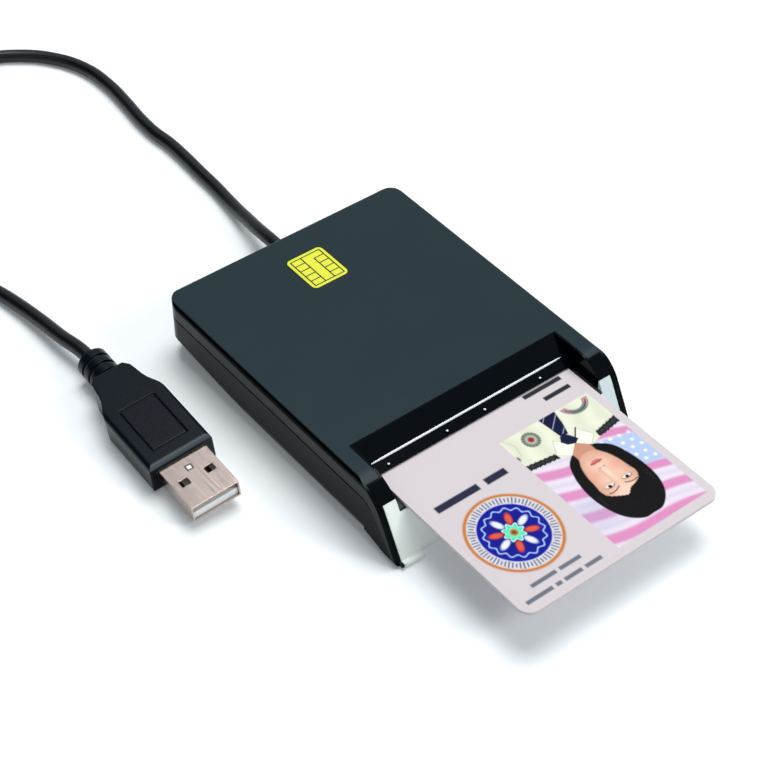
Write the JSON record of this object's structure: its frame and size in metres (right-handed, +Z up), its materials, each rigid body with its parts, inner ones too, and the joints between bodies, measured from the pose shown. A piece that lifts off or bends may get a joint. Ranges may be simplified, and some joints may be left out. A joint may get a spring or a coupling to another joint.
{
  "type": "smart card reader",
  "caption": "Flat desktop smart card reader with a card in its front slot, on a lead with a flat rectangular plug.",
  "frame": {"origin": "on the table, under the middle of the box round the body, the seated card and the strain relief, without the free lead", "axes": "+X to the right seen from the front, +Y from the slot towards the rear face, +Z up"},
  "size_m": [0.1205, 0.2529, 0.0167],
  "materials": {
    "case_lower": "fine satin texture, dark blue-grey",
    "case_upper": "fine satin texture, dark blue-grey",
    "gloss_black": "polished near-black",
    "clear_plastic": "clear, slightly milky, lit from behind",
    "tray_plastic": "matt dark grey",
    "emblem_yellow": "printed yellow with dark lines",
    "foot_rubber": "matt",
    "screw_steel": "plated",
    "board_laminate": "green solder mask",
    "black_plastic": "moulded, matt black",
    "gilt_bronze": "gilded contact metal",
    "white_plastic": "natural white nylon",
    "chip_ceramic": "small chip parts, brown and black",
    "led_resin": "clear resin",
    "wire_plastic": "thin wire sheaths in four colours",
    "cord_sheath": "soft satin black sheath",
    "cord_rubber": "matt",
    "grip_plastic": "satin dark grey, soft to the touch",
    "shell_steel": "nickel plated sheet, warm reflection",
    "tongue_plastic": "white",
    "card_plastic": "satin laminated card, printed",
    "card_gold": "gilded contact plate"
  },
  "bodies": {
    "reader": {"bottom_case": "case_lower", "top_cover": "case_upper", "gloss_frame": "gloss_black", "light_lip": "clear_plastic", "card_tray": "tray_plastic", "chip_emblem": "emblem_yellow", "rubber_feet": "foot_rubber", "case_screws": "screw_steel", "circuit_board": "board_laminate", "board_screws": "screw_steel", "contact_block": "black_plastic", "contact_springs": "gilt_bronze", "switch_body": "black_plastic", "switch_pin": "screw_steel", "controller_chip": "black_plastic", "chip_leads": "screw_steel", "crystal_can": "screw_steel", "small_parts": "chip_ceramic", "status_leds": "led_resin", "wire_socket": "white_plastic", "wire_plug": "white_plastic", "lead_wires": "wire_plastic", "cord_tail": "cord_sheath", "strain_relief": "cord_rubber", "cord_clamp": "black_plastic", "clamp_screws": "screw_steel", "cord_rear": "cord_sheath", "cord_coil": "cord_sheath", "cord_front": "cord_sheath", "plug_grip": "grip_plastic", "plug_shell": "shell_steel", "plug_tongue": "tongue_plastic", "plug_contacts": "gilt_bronze"},
    "card": {"smart_card": "card_plastic", "card_module": "card_gold"},
    "lever": {"switch_lever": "white_plastic"}
  },
  "joints": [
    {"name": "card_slide", "type": "slide", "parent": "reader", "child": "card", "axis": [0, -1, 0], "range_m": [0, 0.034]},
    {"name": "lever_turn", "type": "hinge", "parent": "reader", "child": "lever", "pos_m": [-0.018, 0.0268, 0.0115], "axis": [0, 0, 1], "range_deg": [0, 12], "stiffness_Nm_per_rad": 0.0005, "springref_deg": -11.46}
  ]
}
